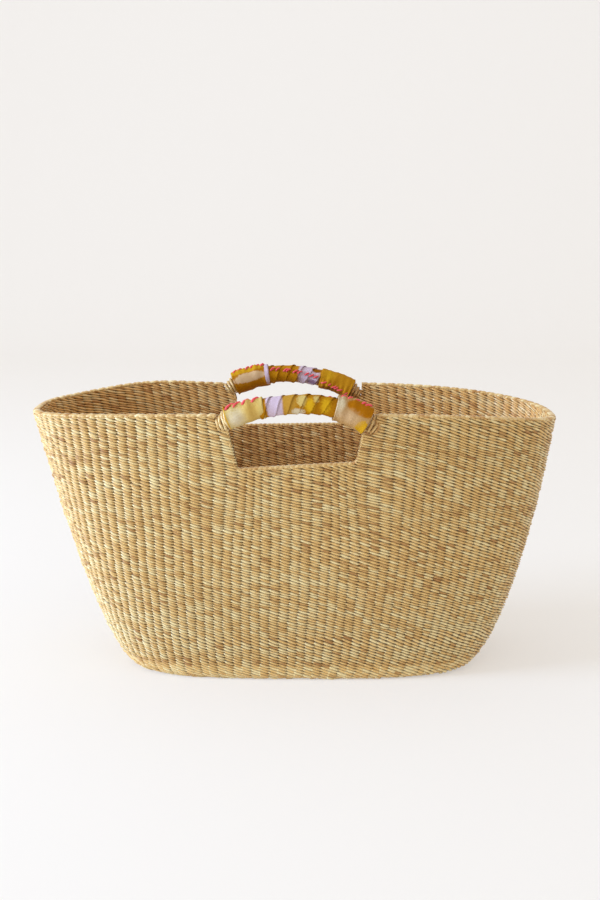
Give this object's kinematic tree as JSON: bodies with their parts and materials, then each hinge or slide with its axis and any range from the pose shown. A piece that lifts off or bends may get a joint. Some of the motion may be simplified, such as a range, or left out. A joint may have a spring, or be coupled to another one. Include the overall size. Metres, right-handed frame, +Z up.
{
  "type": "bolga basket",
  "caption": "Oval shopping basket woven from twisted grass, flared to a wide mouth, with a hand slot under an arched cloth-bound handle on each long side.",
  "frame": {"origin": "middle of the flat underside of the base mat", "axes": "+Z up, long side along X, front hand slot towards -Y"},
  "size_m": [0.5121, 0.2228, 0.282],
  "materials": {
    "woven_grass": "matte twisted grass",
    "stake_grass": "matte split grass",
    "wrap_cloth": "matte cotton cloth in patches of mustard, cream, peach and lilac",
    "seam_thread": "matte coral cotton thread"
  },
  "bodies": {
    "root": {"base_mat": "woven_grass", "heel_band": "woven_grass", "wall_weave": "woven_grass", "rim_border_left": "woven_grass", "rim_border_right": "woven_grass", "slot_sill_front": "woven_grass", "slot_sill_back": "woven_grass", "root_lashing_front_left": "woven_grass", "root_lashing_front_right": "woven_grass", "root_lashing_back_left": "woven_grass", "root_lashing_back_right": "woven_grass", "stakes_front": "stake_grass", "stakes_back": "stake_grass", "stakes_left": "stake_grass", "stakes_right": "stake_grass", "handle_core_front": "stake_grass", "handle_core_back": "stake_grass", "handle_wrap_front": "wrap_cloth", "handle_wrap_back": "wrap_cloth", "handle_cuff_front_left": "wrap_cloth", "handle_cuff_front_right": "wrap_cloth", "handle_cuff_back_left": "wrap_cloth", "handle_cuff_back_right": "wrap_cloth", "seam_thread_front_left": "seam_thread", "seam_thread_front_middle": "seam_thread", "seam_thread_front_right": "seam_thread", "seam_thread_back_left": "seam_thread", "seam_thread_back_middle": "seam_thread", "seam_thread_back_right": "seam_thread"}
  },
  "joints": []
}
